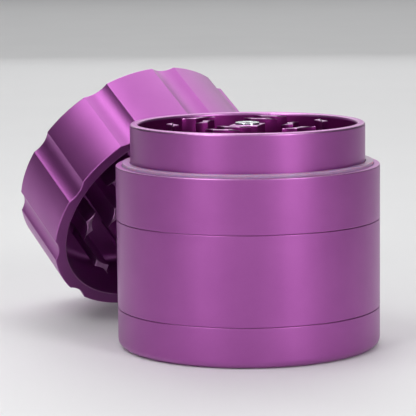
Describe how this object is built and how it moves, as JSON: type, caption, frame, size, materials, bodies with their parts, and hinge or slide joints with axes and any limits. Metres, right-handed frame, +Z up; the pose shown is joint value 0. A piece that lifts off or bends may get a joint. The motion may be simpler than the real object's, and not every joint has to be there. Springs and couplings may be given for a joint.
{
  "type": "herb grinder",
  "caption": "Stack of threaded round metal sections with a toothed grinding bowl, sieve screen and pollen catcher, and a fluted lid leaning on it.",
  "frame": {"origin": "centre of the catcher's flat underside, on the surface that the stack stands on", "axes": "+Z up the stack's axis; the removed lid leans against the back left of the collar, towards -X and +Y; -Y is the side without the lid"},
  "size_m": [0.0905, 0.1087, 0.0636],
  "materials": {
    "anodised_purple": "bead-blasted, dyed purple anodising, satin",
    "sieve_steel": "woven stainless wire cloth",
    "spring_steel": "bright stainless spring steel",
    "nickel": "nickel plated magnet",
    "screw_steel": "turned stainless steel",
    "milky_polymer": "translucent milky low-friction polymer, tinted by the purple metal under it"
  },
  "bodies": {
    "catcher": {"catcher": "anodised_purple"},
    "screen_pack": {"screen_mesh": "sieve_steel", "screen_washer": "spring_steel", "screen_snap_ring": "spring_steel"},
    "collection_chamber": {"collection_chamber": "anodised_purple"},
    "glide_ring": {"glide_ring": "milky_polymer"},
    "grinding_chamber": {"grinding_chamber": "anodised_purple", "chamber_magnet": "nickel", "chamber_magnet_screw": "screw_steel"},
    "lid_magnet": {"lid_magnet": "nickel", "lid_magnet_screw": "screw_steel"},
    "lid": {"lid": "anodised_purple"}
  },
  "joints": [
    {"name": "collection_rise", "type": "slide", "parent": "catcher", "child": "screen_pack", "axis": [0, 0, 1], "range_m": [0, 0.0048]},
    {"name": "collection_unscrew", "type": "hinge", "parent": "screen_pack", "child": "collection_chamber", "pos_m": [0, 0, 0.0065], "axis": [0, 0, 1], "range_deg": [0, 1080]},
    {"name": "grinding_rise", "type": "slide", "parent": "collection_chamber", "child": "glide_ring", "axis": [0, 0, 1], "range_m": [0, 0.0048]},
    {"name": "grinding_unscrew", "type": "hinge", "parent": "glide_ring", "child": "grinding_chamber", "pos_m": [0, 0, 0.0275], "axis": [0, 0, 1], "range_deg": [0, 1080]},
    {"name": "lid_lift", "type": "slide", "parent": "grinding_chamber", "child": "lid_magnet", "axis": [-0.4904, 0.6762, 0.5498], "range_m": [0, 0.04]},
    {"name": "lid_spin", "type": "hinge", "parent": "lid_magnet", "child": "lid", "pos_m": [-0.02169, 0.04036, 0.02631], "axis": [-0.4904, 0.6762, 0.5498], "continuous": true}
  ],
  "couplings": [
    {"joint": "collection_unscrew", "follows": "collection_rise", "rad_per_m": 3927},
    {"joint": "grinding_unscrew", "follows": "grinding_rise", "rad_per_m": 3927}
  ]
}
